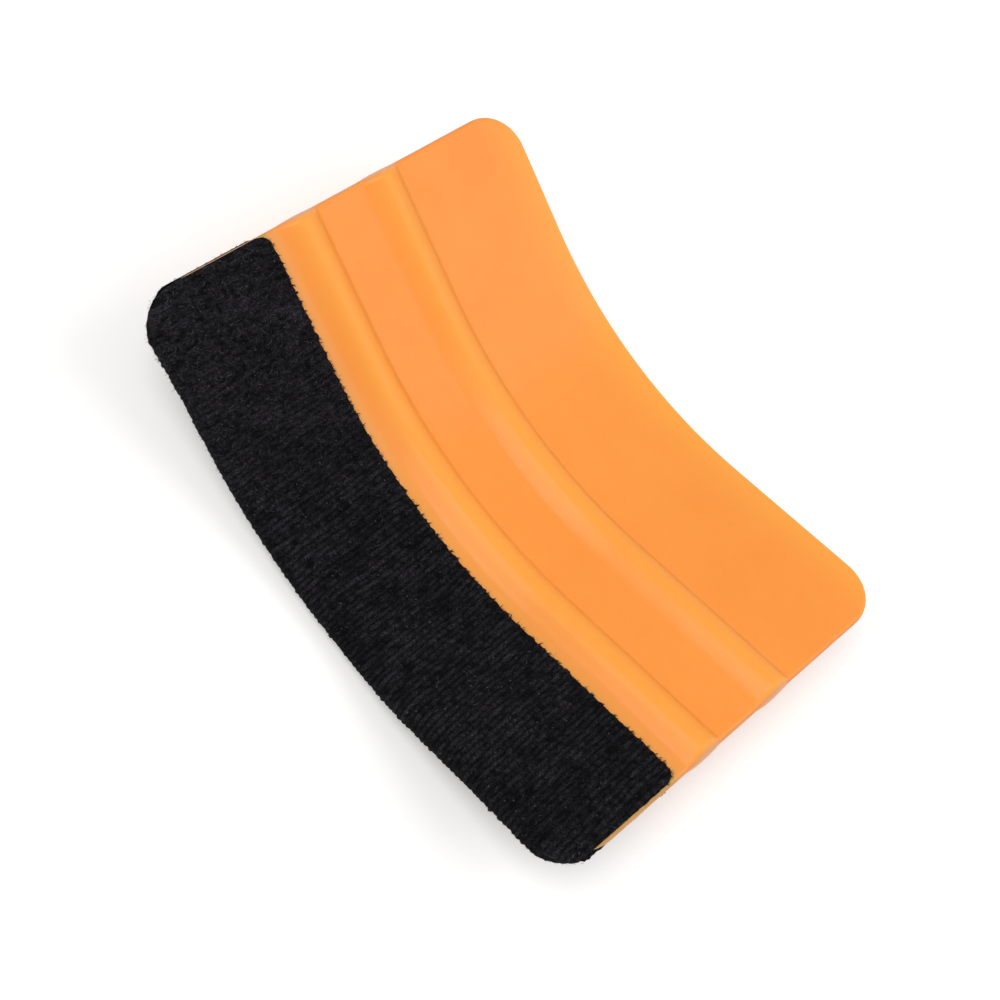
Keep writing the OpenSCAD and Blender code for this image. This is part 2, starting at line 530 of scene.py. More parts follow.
def plastic_finish(card):
    """Satin moulded plastic: cloudy orange with faint handling marks, painted light on the blade edge
    and the ridge crests, and painted shade on the end rims, beside the felt and under it.
    """
    finish = Finish(
        "satin_orange_plastic",
        IOR=1.49,
        Subsurface_Weight=0.3,
        Subsurface_Radius=(1.0, 0.45, 0.2),
        Subsurface_Scale=2.2 * MM,
        Specular_IOR_Level=0.22,
        Coat_Weight=0.1,
        Coat_Roughness=0.14,
    )
    place = finish.object_place()
    clouds = finish.noise(place, 22 * MM, detail=4.0)
    flow = finish.noise(finish.stretch(place, (0.35, 1.0, 1.0)), 5 * MM)
    mottle = finish.math("ADD", finish.times(clouds, 0.7), finish.times(flow, 0.3))
    colour = finish.blend(finish.span(mottle, 0.36, 0.66), card.deep_colour, card.colour)
    grain = finish.span(finish.noise(place, 0.35 * MM, detail=2.0), 0.3, 0.7, 0.0, 0.06)
    patchy_shade = finish.span(finish.noise(place, 1.8 * MM), 0.3, 0.7, 0.65, 1.0)
    # Tints that paint light and shade: painted shade on the end rims, beside the felt and under it,
    # painted light on the blade edge and crests; the fine grain is the plastic's own
    tints = (
        (grain, card.rim_shade_and_grain_colour),
        (finish.times(finish.mark("painted_light"), PAINTED_LIGHT_TINT), card.painted_light_colour),
        (finish.times(finish.mark("felt_shadow"), patchy_shade), card.felt_shadow_colour),
        (finish.times(finish.mark("under_felt_shade"), patchy_shade), card.under_felt_shade_colour),
        (finish.times(finish.mark("rim"), RIM_SHADE_TINT), card.rim_shade_and_grain_colour),
    )
    for share, tint in tints:
        colour = finish.blend(share, colour, tint)
    finish.set("Base Color", colour)
    satin = finish.noise(place, 6 * MM, detail=5.0, roughness=0.6)
    scratches = finish.noise(finish.stretch(place, (1.0, 0.03, 0.05)), 0.5 * MM, detail=4.0)
    scratched = finish.times(finish.span(scratches, 0.62, 0.74), 0.07)
    finish.set("Roughness", finish.math("ADD", finish.span(satin, 0.3, 0.7, 0.38, 0.47), scratched))
    skin = finish.bump(finish.noise(place, 0.28 * MM), 0.006 * MM)
    finish.set("Normal", finish.bump(finish.noise(place, 9 * MM, detail=2.0), 0.05 * MM, Normal=skin))
    return finish.material


def felt_finish(felt):
    """Black brushed felt: ribs of small stitches under a matt nap, with sparse pale fibres, and
    painted shade in the grooves and painted light on the ribs.
    """
    finish = Finish(
        "black_brushed_felt",
        Roughness=1.0,
        Sheen_Weight=0.015,
        Sheen_Roughness=0.5,
        Specular_IOR_Level=0.05,
    )
    cloth = finish.node("UVMap", uv_map="cloth").outputs["UV"]
    strokes = finish.noise(finish.stretch(cloth, (1.0, 0.6, 1.0)), 0.24 * MM, detail=2.5, roughness=0.6)
    fibres = finish.noise(finish.stretch(cloth, (1.0, 0.5, 1.0)), 0.07 * MM, detail=2.0, roughness=0.7)
    patches = finish.span(finish.noise(cloth, 9 * MM), 0.35, 0.65, 0.8, 1.2)
    # Painted shade in the knit's grooves and painted light on its ribs, from the pile height
    painted_relief_shade = finish.span(finish.mark("pile"), 0.15, 1.0, 0.08, 2.0)
    shade = finish.times(finish.span(strokes, 0.38, 0.64, 0.25, 2.1), painted_relief_shade)
    shade = finish.times(shade, patches)
    grey = finish.node("CombineColor", {0: shade, 1: shade, 2: shade}).outputs[0]
    colour = finish.blend(1.0, felt.colour, grey, "MULTIPLY")
    specks = finish.node("TexVoronoi", {"Vector": cloth, "Scale": 1 / (0.8 * MM)}).outputs
    chosen = finish.math("GREATER_THAN", specks["Color"], 0.7)
    fleck = finish.times(chosen, finish.span(specks["Distance"], 0.2, 0.05))
    light = finish.times(finish.span(fibres, 0.52, 0.75), 0.13)
    share = finish.math("MAXIMUM", finish.times(fleck, 0.4), light)
    finish.set("Base Color", finish.blend(share, colour, felt.fleck_colour))
    fine = finish.bump(fibres, 0.05 * MM)
    finish.set("Normal", finish.bump(strokes, 0.2 * MM, Normal=fine))
    return finish.material


def fibre_finish(felt):
    """Loose fibres of the felt, each its own shade of black to grey."""
    finish = Finish("felt_fibres", Roughness=0.9, Specular_IOR_Level=0.06)
    lengthwise = finish.noise(finish.object_place(), 0.15 * MM, detail=1.0)
    share = finish.times(finish.mark("shade"), finish.span(lengthwise, 0.3, 0.7, 0.6, 1.2))
    dark = tuple(0.55 * part for part in felt.colour)
    finish.set("Base Color", finish.blend(share, dark, felt.fleck_colour))
    return finish.material


def film_finish(felt):
    """Amber adhesive film, uneven where it has taken up fibres."""
    finish = Finish("amber_film", Roughness=0.42, IOR=1.47, Coat_Weight=0.2, Coat_Roughness=0.3)
    place = finish.object_place()
    wet = finish.noise(place, 1.6 * MM, detail=4.0)
    soaked = finish.span(wet, 0.35, 0.65)
    finish.set("Base Color", finish.blend(soaked, felt.film_colour, felt.film_shade))
    finish.set("Roughness", finish.span(wet, 0.3, 0.7, 0.32, 0.55))
    finish.set("Normal", finish.bump(finish.noise(place, 0.4 * MM), 0.02 * MM))
    return finish.material


def floor_finish(stage):
    """Pale matt floor that looks white where nothing shades it."""
    finish = Finish("pale_floor", Roughness=0.9, Specular_IOR_Level=0.0)
    grain = finish.noise(finish.object_place(), 4 * MM, detail=2.0)
    pale = tuple(0.99 * part for part in stage.floor_colour)
    finish.set("Base Color", finish.blend(grain, stage.floor_colour, pale))
    far = finish.node("VectorMath", {0: finish.object_place()}, operation="LENGTH").outputs["Value"]
    lift = finish.span(far, GLOW_FROM, GLOW_TO, stage.floor_lift, FAR_GLOW)
    shown = {"Color": (1, 1, 1, 1), "Strength": seen_directly(finish.tree, lift)}
    glow = finish.node("Emission", shown)
    both = finish.node("AddShader", {0: finish.shader.outputs[0], 1: glow.outputs[0]})
    output = finish.tree.nodes["Material Output"]
    finish.tree.links.new(both.outputs[0], output.inputs["Surface"])
    return finish.material


# ---------------------------------------------------------------- the card

# Share of the card's half thickness that its bull nose takes, and the flat border inside that
NOSE_SHARE = 0.94
NOSE_BORDER = 0.3 * MM
# Lines scored over the card: over each ridge, across the panel between them, under the felt, on
# the blade side, and along the whole card
RIDGE_LINES = 29
PANEL_LINES = 6
TUCKED_LINES = 6
BLADE_LINES = 9
LENGTH_LINES = 81
# How far the lines over a ridge reach from its crest, in ridge widths
RIDGE_REACH = 0.68
# How far the others stay from the rounded rim, and from the end of the felt
RIM_CLEAR = 2 * MM
# Lines beside the felt's edge, from that edge, and at each end of the card, from that end
FELT_SIDE_LINES = (-0.5 * MM, 0.4 * MM, 1.2 * MM, 2.0 * MM)
END_LINES = (0.7 * MM, 0.85 * MM, 1.0 * MM)
LAST_END_LINE = 0.5 * MM
# Widths of the card's painted marks: painted shade from the rim, painted shadow from the felt's edge,
# and painted light from the blade edge
RIM_SHADE_MARK = 0.3 * MM
FELT_SHADOW_MARK = 3.2 * MM
FELT_SHADOW_TUCK = 0.6 * MM
PAINTED_LIGHT_MARK = 9 * MM
# Strength of the painted shade on the card under the felt, and of the painted highlight on a ridge's
# crest beside the painted light on the blade edge
UNDER_FELT_SHADE = 0.95
CREST_HIGHLIGHT = 0.7
# Strength of the painted light on the blade edge and crests, and of the painted shade on the rim
PAINTED_LIGHT_TINT = 0.8
RIM_SHADE_TINT = 0.55


def card_blank(shape):
    """Upper half of the flat card: rounded plan with a bull-nosed rim, one level all over."""
    card = shape.card
    half_edge = card.edge_thickness / 2
    depth = card.width
    middle = Vector((shape.middle, shape.felt_y + depth / 2, 0))
    deselect_all()
    bpy.ops.mesh.primitive_plane_add(size=1, location=middle)
    blank = bpy.context.object
    blank.name = "card_body"
    blank.data.name = "card_body"
    bpy.ops.object.transform_apply(location=True)
    edit(blank)
    bpy.ops.mesh.select_all(action="SELECT")
    bpy.ops.transform.resize(value=(card.length, depth, 1), center_override=middle)
    for side, radius in ((1, card.blade_corner), (-1, card.tucked_corner)):
        pick_vertices(blank, lambda co: abs(co.y - middle.y - side * depth / 2) < TINY)
        bpy.ops.mesh.bevel(offset=radius, segments=16, affect="VERTICES", offset_type="OFFSET")
    bpy.ops.mesh.select_mode(type="FACE")
    bpy.ops.mesh.select_all(action="SELECT")
    bpy.ops.mesh.extrude_region_move(TRANSFORM_OT_translate={"value": (0, 0, half_edge)})
    pick_faces(blank, lambda middle, normal: middle.z < TINY)
    bpy.ops.mesh.delete(type="ONLY_FACE")
    pick_faces(blank, lambda middle, normal: middle.z > half_edge - TINY)
    bpy.ops.mesh.region_to_loop()
    bpy.ops.mesh.bevel(offset=NOSE_SHARE * half_edge, segments=6, affect="EDGES", clamp_overlap=False)
    bpy.ops.mesh.select_mode(type="FACE")
    pick_faces(blank, lambda middle, normal: middle.z > half_edge - TINY)
    bpy.ops.mesh.inset(thickness=NOSE_BORDER, depth=0)
    return blank


def shape_levels(blank, shape):
    """Scores the blank, then thickens it line by line into the wedge, panel and ridges."""
    card = shape.card
    tucked = shape.felt.flap_depth
    low, high = shape.ridges
    reach = RIDGE_REACH * card.ridge_width
    over_ridge = np.linspace(-reach, reach, RIDGE_LINES)
    across = [middle + step for middle in shape.ridges for step in over_ridge]
    across += list(np.linspace(low + reach, high - reach, PANEL_LINES)[1:-1])
    under = [*np.linspace(RIM_CLEAR, tucked - RIM_CLEAR, TUCKED_LINES)]
    under += [tucked + step for step in FELT_SIDE_LINES]
    across += [place for place in under if place < low - reach]
    across += list(np.linspace(high + reach, card.width - RIM_CLEAR, BLADE_LINES)[1:])
    ends = [*END_LINES, shape.end_run, shape.end_run + LAST_END_LINE]
    first, last = RUN_OUT, RUN_OUT + card.length
    edit(blank)
    score("Y", [shape.felt_y + place for place in across])
    score("X", [first + step for step in ends] + [last - step for step in ends])
    mesh = bmesh.from_edit_mesh(blank.data)
    lines = {}
    for vertex in mesh.verts:
        lines.setdefault(round(vertex.co.y / TINY), []).append(vertex.index)
    for line in lines.values():
        lift_line(blank, shape, line)
    score("X", np.linspace(first, last, LENGTH_LINES)[2:-2])
    bpy.ops.object.mode_set(mode="OBJECT")


def lift_line(blank, shape, line):
    """Brings the vertices of one line along the card to their level: the thickness, then the ridge."""
    card = shape.card
    mesh = bmesh.from_edit_mesh(blank.data)
    mesh.verts.ensure_lookup_table()
    across = mesh.verts[line[0]].co.y - shape.felt_y
    thicken = float(shape.base(across)) / (card.edge_thickness / 2)
    ridge = float(shape.ridge(across))
    heights = {}
    for index in line:
        place = mesh.verts[index].co.x - RUN_OUT
        rise = float(shape.end_rise(min(place, card.length - place)))
        heights.setdefault(round(ridge * rise / TINY) * TINY, []).append(index)
    if thicken > 1 + 1e-4:
        pick_indices(blank, line)
        bpy.ops.transform.resize(value=(1, 1, thicken), center_override=(0, 0, 0))
    for height, indices in heights.items():
        if height > 0:
            pick_indices(blank, indices)
            bpy.ops.transform.translate(value=(0, 0, height))


def pick_indices(piece, indices):
    bpy.ops.mesh.select_all(action="DESELECT")
    mesh = bmesh.from_edit_mesh(piece.data)
    mesh.verts.ensure_lookup_table()
    for index in indices:
        mesh.verts[index].select = True
    mesh.select_flush_mode()
    bmesh.update_edit_mesh(piece.data)


def square_back_ends(piece, shape):
    """Draws the ridges' ends on the back out toward the card's ends, where they are nearly square."""
    card = shape.card
    level = -card.root_thickness / 2 - RIDGE_SKIN
    reach = shape.end_run + RIDGE_SKIN

    def on_back_ridge(place, end):
        across = place.y - shape.felt_y
        beside = min(abs(across - middle) for middle in shape.ridges)
        return place.z < level and abs(place.x - end) < reach and beside < card.ridge_width / 2

    edit(piece)
    for end in (RUN_OUT, RUN_OUT + card.length):
        pick_vertices(piece, lambda place: on_back_ridge(place, end))
        bpy.ops.transform.resize(value=(card.back_end, 1, 1), center_override=(end, 0, 0))
    bpy.ops.object.mode_set(mode="OBJECT")


def mark_card(piece, shape):
    """Marks each vertex for the material: painted shade on the rim of both ends and under the felt,
    painted shadow beside the felt, painted light on the blade edge, where light comes through the
    plastic, and a painted highlight on the ridge crests."""
    x, y, _ = vertex_places(piece).T
    card = shape.card
    along = np.abs(x - shape.middle) - card.length / 2
    blade = y - shape.felt_y - card.width
    beside_felt = y - shape.felt_y - shape.felt.flap_depth
    crest = np.clip(shape.ridge(y - shape.felt_y) / card.ridge_height, 0, 1)
    from_corner = np.clip(-blade / card.blade_corner, 0, 1)
    edge = np.clip(1 + blade / PAINTED_LIGHT_MARK, 0, 1) ** 2
    # Painted shade on the rounded rim of both ends, fading out toward the blade corners
    add_mark(piece, "rim", np.clip(1 + along / RIM_SHADE_MARK, 0, 1) * from_corner)
    # Painted shade on the card under the felt, seen at its ends
    add_mark(piece, "under_felt_shade", np.where(beside_felt < 0, UNDER_FELT_SHADE, 0))
    # Painted shadow on the card along the felt's edge, reaching a little under the felt
    add_mark(piece, "felt_shadow", np.clip(1 - beside_felt / FELT_SHADOW_MARK, 0, 1) * (beside_felt > -FELT_SHADOW_TUCK))
    # Painted light near the blade edge, where light comes through the plastic, and a painted highlight
    # on the ridge crests
    add_mark(piece, "painted_light", np.maximum(edge, CREST_HIGHLIGHT * crest))


class APPLICATOR_OT_card(bpy.types.Operator):
    """Moulds the card: rounded plan, bull-nosed rim, wedge, two ridges on each face, then the flex"""

    bl_idname = "applicator.card"
    bl_label = "Card"

    def execute(self, context):
        shape = shape_of(context)
        card = card_blank(shape)
        shape_levels(card, shape)
        apply_modifier(card, "MIRROR", use_axis=(False, False, True), merge_threshold=TINY)
        edit(card)
        bpy.ops.mesh.select_all(action="SELECT")
        bpy.ops.mesh.remove_doubles(threshold=TINY)
        bpy.ops.mesh.normals_make_consistent(inside=False)
        bpy.ops.object.mode_set(mode="OBJECT")
        square_back_ends(card, shape)
        mark_card(card, shape)
        flex(card, shape)
        card.data.materials.append(plastic_finish(shape.card))
        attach(card, ROOT_BODY)
        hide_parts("card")
        return {"FINISHED"}


# ---------------------------------------------------------------- the felt

# Steps of the felt's outside along and around, and how many of them one step of its inside spans
FELT_GRID = (480, 150)
FELT_COARSE = 3
FILM_GRID = (160, 60)
# How far the film stays clear of the card and of the felt, and of the felt's fold at the corners
FILM_CLEAR = 0.01 * MM
CORNER_CLEAR = 0.02 * MM
# The felt's cut edges part at this angle round the corner, and close over this much more of it
CORNER_OPENS = math.radians(5)
CORNER_CLOSES = math.radians(24)
# Spacing and depth of the teeth that cutting left along the felt's edges
TOOTH_PITCH = 2.4 * MM
TOOTH_DEPTH = 0.22 * MM
# The felt's outside droops to its cut edges over these steps, by this share of its thickness, and
# its edge stops at this share; a step along the strip counts as less than one around it
DROOP_STEPS = 3.0
DROOP = 0.3
SKIRT = 0.42
ALONG_STEP = 0.6
# Pile height that the material sees on the strip's inside
INSIDE_PILE = 0.35
# Scatters the strokes of neighbouring ribs
ROW_TURN = 12.9898
ROW_SHIFT = 43 * MM
# Where the nap begins to be roughed up, left of the card's middle, and where it is so all over
WEAR = (5 * MM, 42 * MM)
# The felt sits looser round the edge toward both ends: by this share of its thickness, growing
# between these two distances from the card's middle, and fading over this much of the flaps
SLACK = 0.4
SLACK_RIGHT = (2 * MM, 20 * MM)
SLACK_LEFT = (34 * MM, 46 * MM)
SLACK_FADE = 11 * MM
# Corner radii over which the strip is drawn in, from its ends and from its flaps' edges
END_DRAW = 1.5
FLAP_DRAW = 2
# How far the ribs waver and drift, and their lean; every other rib is only this high
RIB_WAVER = 0.1 * MM
RIB_DRIFT = 0.25 * MM
RIB_LEAN = 0.05
LOW_RIB = 0.75
# Height of the fluff on the knit, what wear adds to it, and what wear takes off the knit
FLUFF = 0.3
WORN_FLUFF = 0.45
WORN_KNIT = 0.5
# How far the cut edges stray, finely and broadly, and how far the teeth wander along them
FINE_FRAY = 0.13 * MM
BROAD_FRAY = 0.07 * MM
TOOTH_WANDER = 0.5 * MM
# Step for measuring which way the strip's outside runs
PROBE = 0.1 * MM


def draw_in(place, hold, reach, limit):
    """Draws what lies past hold, on both sides, in so that reach comes to the limit."""
    size = np.abs(place)
    drawn = hold + (size - hold) * (limit - hold) / (reach - hold)
    return np.where(size > hold, np.sign(place) * drawn, place)


class Strip:
    """Places on the folded strip, from along (X from the card's middle) and around (round its
    outside). The film's strip has its outline inset from the felt's, and its corners tucked in."""

    def __init__(self, shape, inset=0.0, tuck=0.0):
        card, felt = shape.card, shape.felt
        self.shape = shape
        self.tuck = tuck
        self.half_length = card.length / 2 - inset
        self.gap = felt.end_gap
        self.quarter = (card.edge_thickness / 2 + shape.wrap) * math.pi / 2
        self.half_width = self.quarter + felt.flap_depth - card.edge_thickness / 2 - inset

    def fit(self, along, around):
        """Draws an even rectangle in to the strip's outline, with its corners rounded."""
        card, felt = self.shape.card, self.shape.felt
        across, _ = self.shape.felt_point(around, felt.thickness)
        radius = card.felt_corner
        inner = radius - self.tuck
        below = np.clip(radius - self.shape.wrap - across, 0, inner)
        end = card.length / 2 - radius + np.sqrt(np.clip(inner**2 - below**2, 0, None))
        end = np.where(below > 0, end, card.length / 2)
        end = np.minimum(end, self.half_length - np.where(along > 0, self.gap, 0))
        along = draw_in(along, card.length / 2 - END_DRAW * radius, self.half_length, end)
        corner = felt.inner_corner
        reach = self.half_length - np.where(along > 0, self.gap, 0)
        past = np.clip(np.abs(along) - reach + corner, 0, corner)
        limit = self.half_width - corner + np.sqrt(np.clip(corner**2 - past**2, 0, None))
        around = draw_in(around, self.half_width - FLAP_DRAW * corner, self.half_width, limit)
        return along, around

    def worn(self, along):
        """How far the nap has been roughed up, most at the left end."""
        return smooth_step(-along, *WEAR)

    def pile(self, along, around):
        """Height of the knit and its brushed pile, from 0 in a groove to 1 on a rib."""
        waver = RIB_WAVER * cloud(along, around, 1.1 * MM, seed=11)
        drift = RIB_DRIFT * cloud(along, around, 6 * MM, seed=12)
        turn = (along + (waver + drift) + RIB_LEAN * around) / self.shape.felt.rib_pitch
        row = np.floor(turn)
        rib = np.sin(math.pi * (turn - row))
        shift = np.sin(row * ROW_TURN) * ROW_SHIFT
        stroke = cloud(around + shift, row * 3 * MM, 0.8 * MM, seed=13)
        knit = rib * np.clip(0.62 + 0.55 * stroke, 0.1, 1.2) * np.where(row % 2 > 0, 1.0, LOW_RIB)
        brushed = np.clip(0.8 + 0.4 * cloud(along, around, 3.1 * MM, seed=14), 0.4, 1)
        fluff = 0.5 + 0.5 * cloud(along, around * 0.6, 0.36 * MM, seed=15)
        worn = self.worn(along)
        matted = brushed * knit * (1 - WORN_KNIT * worn)
        return np.clip(matted + (FLUFF + WORN_FLUFF * worn) * fluff, 0, 1.4)

    def slack(self, along, around):
        """Share of its thickness by which the felt stands off at a place."""
        right = smooth_step(along, *SLACK_RIGHT)
        left = smooth_step(-along, *SLACK_LEFT)
        fold = 1 - smooth_step(np.abs(around), self.quarter, self.quarter + SLACK_FADE)
        return SLACK * (right + left) * fold

    def place(self, along, around, level):
        """Points of the strip before the flex. The fold carries on round the card's corners, and
        opens into two cut edges where the straight end begins."""
        level = level * (1 + self.slack(along, around))
        across, z = self.shape.felt_point(around, level)
        card, felt = self.shape.card, self.shape.felt
        radius = card.felt_corner
        past_end = np.abs(along) - card.length / 2 + radius
        past_side = radius - self.shape.wrap - across
        outline = radius - felt.thickness + level
        roll = card.edge_thickness / 2 + felt.film + level
        inside = np.clip(outline - np.hypot(past_end, past_side), 0, roll)
        closed = np.sqrt(np.clip(roll**2 - (roll - inside) ** 2, 0, None))
        closed = np.sign(around) * np.clip(np.minimum(np.abs(z), closed), 5 * TINY, None)
        turn = np.arctan2(past_side, np.clip(past_end, TINY, None))
        share = ease(np.clip((turn - CORNER_OPENS) / CORNER_CLOSES, 0, 1))
        share = share * ((past_end > 0) & (past_side > 0))
        z = z + share * (closed - z)
        return np.stack([self.shape.middle + along, self.shape.felt_y + across, z], -1)

    def beside(self, along, around, level):
        """Which way the strip runs on round its outside at a place."""
        return unit(self.place(along, around + PROBE, level) - self.place(along, around, level))

    def even_grid(self, columns, rows):
        """Places all over the strip, in even columns and rows drawn in to its outline."""
        along = np.linspace(-self.half_length, self.half_length, columns + 1)
        around = np.linspace(-self.half_width, self.half_width, rows + 1)
        return self.fit(*np.meshgrid(along, around, indexing="ij"))


def felt_layers(strip):
    """Points of the strip's outside, down its cut edges, and of its inside, all as grids, and the
    places and pile height of the outside."""
    felt = strip.shape.felt
    along, around = strip.even_grid(*FELT_GRID)
    pile = strip.pile(along, around)
    droop = np.clip(1 - edge_distance(*FELT_GRID) / DROOP_STEPS, 0, 1) ** 2
    level = felt.thickness - felt.rib_height * (1 - pile) - DROOP * felt.thickness * droop
    fine = FINE_FRAY * cloud(along, around, 0.55 * MM, seed=21)
    broad = BROAD_FRAY * cloud(along, around, 2.2 * MM, seed=22)
    wander = TOOTH_WANDER * cloud(along, 0 * along, 3 * MM, seed=23)
    teeth = (along + wander) / TOOTH_PITCH % 1.0
    ragged = fine + broad + TOOTH_DEPTH * (teeth**2 - 0.4)
    outer_along, outer_around = along.copy(), around.copy()
    outer_along[[0, -1]] += (ragged * np.sign(along))[[0, -1]]
    outer_around[:, [0, -1]] += (ragged * np.sign(around))[:, [0, -1]]
    top = strip.place(outer_along, outer_around, level)
    skirt = strip.place(along, around, SKIRT * felt.thickness + 0 * level)
    coarse = slice(None, None, FELT_COARSE)
    along, around = along[coarse, coarse], around[coarse, coarse]
    inside = strip.place(along, around, 0 * along)
    return top, skirt, inside, (outer_along, outer_around), pile


def edge_distance(columns, rows):
    """Steps from the nearest border of a grid."""
    a = np.minimum(np.arange(columns + 1), np.arange(columns + 1)[::-1])
    b = np.minimum(np.arange(rows + 1), np.arange(rows + 1)[::-1])
    return np.minimum(a[:, None] * ALONG_STEP, b[None, :])


def border(grid):
    """Rows and columns of a grid's border, in order round it, the first not repeated."""
    columns, rows = grid.shape[0] - 1, grid.shape[1] - 1
    lower = [(i, 0) for i in range(columns)]
    right = [(columns, j) for j in range(rows)]
    upper = [(i, rows) for i in range(columns, 0, -1)]
    left = [(0, j) for j in range(rows, 0, -1)]
    return tuple(np.array(lower + right + upper + left).T)


def felt_body(strip):
    """The strip as one closed mesh: a dense knitted outside, a plain inside and frayed cut edges."""
    top, skirt, inside, where, pile = felt_layers(strip)
    ring = border(top)
    outside_index = grid_index(top)
    edge = outside_index[ring]
    skirt_index = outside_index.size + np.arange(edge.size)
    inside_index = outside_index.size + skirt_index.size + grid_index(inside)
    points = np.concatenate([top.reshape(-1, 3), skirt[ring], inside.reshape(-1, 3)])
    faces = quads(outside_index).tolist()
    faces += quads(inside_index)[:, ::-1].tolist()
    faces += np.stack([edge, skirt_index, np.roll(skirt_index, -1), np.roll(edge, -1)], -1).tolist()
    coarse = inside_index[border(inside)]
    closed = np.append(skirt_index, skirt_index[0])
    for step in range(len(coarse)):
        fine = closed[step * FELT_COARSE : (step + 1) * FELT_COARSE + 1]
        faces.append([coarse[step], coarse[(step + 1) % len(coarse)], *fine[::-1]])
    mesh = bpy.data.meshes.new("felt_body")
    mesh.from_pydata(points.tolist(), [], faces)
    mesh.update()
    body = bpy.data.objects.new("felt_body", mesh)
    bpy.context.collection.objects.link(body)
    add_cloth_map(body, strip, where, pile)
    return body


def quads(index):
    corners = (index[:-1, :-1], index[1:, :-1], index[1:, 1:], index[:-1, 1:])
    return np.stack(corners, -1).reshape(-1, 4)


def add_cloth_map(body, strip, where, pile):
    """A UV map in metres of cloth, and the pile's height for the material."""
    mesh = body.data
    flat = vertex_places(body)
    dense = pile.size
    uv = np.empty((len(flat), 2))
    uv[:dense] = np.stack([where[0].ravel(), where[1].ravel()], -1)
    uv[dense:, 0] = flat[dense:, 0] - strip.shape.middle
    uv[dense:, 1] = (flat[dense:, 1] - strip.shape.felt_y) * np.sign(flat[dense:, 2] + TINY)
    corners = np.empty(len(mesh.loops), np.int32)
    mesh.loops.foreach_get("vertex_index", corners)
    layer = mesh.uv_layers.new(name="cloth")
    layer.data.foreach_set("uv", uv[corners].ravel())
    height = np.full(len(flat), INSIDE_PILE)
    height[:dense] = pile.ravel()
    add_mark(body, "pile", height)


# The way that the strip's length runs
ALONG = np.array([[1.0, 0, 0]])
# Nap fibres: lengths beside the nap length, widths in millimetres, how upright they are, how deep
# they are rooted, and how far those of one half reach over the fold
NAP_LENGTHS = (0.45, 1.15)
NAP_WIDTHS = (0.018, 0.034)
NAP_RISE = 0.4
NAP_ROOT = 0.05 * MM
NAP_OVERLAP = 0.4 * MM
# How strongly they lean along and around the strip, and how far they are brushed off the fold
LEAN_ALONG = 0.8
LEAN_AROUND = 0.9
BRUSHED = 0.2
# Their shades from black to pale: shape and scale of the spread, the painted shade in a groove
# and painted light on a rib's top, and what fresh felt and wear make of it
NAP_SHADES = (0.5, 0.1)
GROOVE_PAINTED_SHADE = 0.05
RIB_PAINTED_LIGHT = 1.5
FRESH_SHADE = 0.65
WORN_SHADE = 0.95
# Pale curls: their share of the fibres, how much wear adds to it, their shades, and their size
# beside the nap
CURL_SHARE = 0.012
WORN_CURLS = 0.1
CURL_SHADES = (0.2, 1.0)
CURL_LENGTH = 2.0
CURL_WIDTH = 1.8
CURL_BOW = 0.15 * MM
CURL_LIFT = 0.04 * MM
# Fringe strands: lengths and widths in millimetres, shades, bow and tilt, where in the felt's
# thickness they start, and where they are rooted, as shares of the way along and around
FRINGE_LENGTHS = (0.3, 0.72)
FRINGE_WIDTHS = (0.07, 0.14)
FRINGE_SHADES = (1.0, 0.12)
FRINGE_BOW = 0.06 * MM
FRINGE_TILT = 0.12
FRINGE_LEVELS = (0.08, 0.8)
FRINGE_ROOTS = (0.9985, 0.994)
# Tufts of them: steps between tufts in tooth pitches, strands in each, their spread, the middle
# and spread of the tufts' slants, and how far one strand's slant differs
TUFT_STEPS = (0.35, 0.8)
TUFT_STRANDS = (5, 14)
TUFT_SPREAD = 0.1 * MM
TUFT_SLANTS = (0.5, 0.35)
STRAND_SLANT = 0.25
# Single strands at the strip's ends: their spacing, slant, and length beside those in tufts
END_STRAND_PITCH = 0.5 * MM
END_STRAND_SLANT = 0.5
END_STRAND_LENGTH = 0.4


def needles(name, roots, directions, lengths, widths, shades, bows=None):
    """Fine closed fibres with three sides as one piece, straight, or bowed at half their length."""
    count = len(roots)
    straight = bows is None
    bows = 0 * roots if straight else bows
    directions = unit(directions)
    helper = np.where(np.abs(directions[:, :1]) < 0.8, [[1.0, 0, 0]], [[0, 1.0, 0]])
    side = unit(np.cross(directions, helper))
    other = np.cross(directions, side)
    points = []
    rings = ((0, 1.0),) if straight else ((0, 1.0), (0.5, 0.8))
    for share, thickness in rings:
        middle = roots + directions * (lengths * share)[:, None] + bows * (share * 2)
        for turn in (0, 2 * math.pi / 3, 4 * math.pi / 3):
            ring = side * math.cos(turn) + other * math.sin(turn)
            points.append(middle + ring * (widths * thickness / 2)[:, None])
    points.append(roots + directions * lengths[:, None] + bows * 1.2)
    points = np.stack(points, 1).reshape(-1, 3)
    tip = 3 * len(rings)
    one = [(0, 2, 1)]
    for corner in range(3):
        following = (corner + 1) % 3
        for low in range(0, tip - 3, 3):
            one.append((low + corner, low + following, low + following + 3))
            one.append((low + corner, low + following + 3, low + corner + 3))
        one.append((tip - 3 + corner, tip - 3 + following, tip))
    faces = np.array(one)[None] + (tip + 1) * np.arange(count)[:, None, None]
    piece = build_mesh(name, points, faces.reshape(-1, 3), 3)
    add_mark(piece, "shade", np.repeat(shades, tip + 1))
    return piece


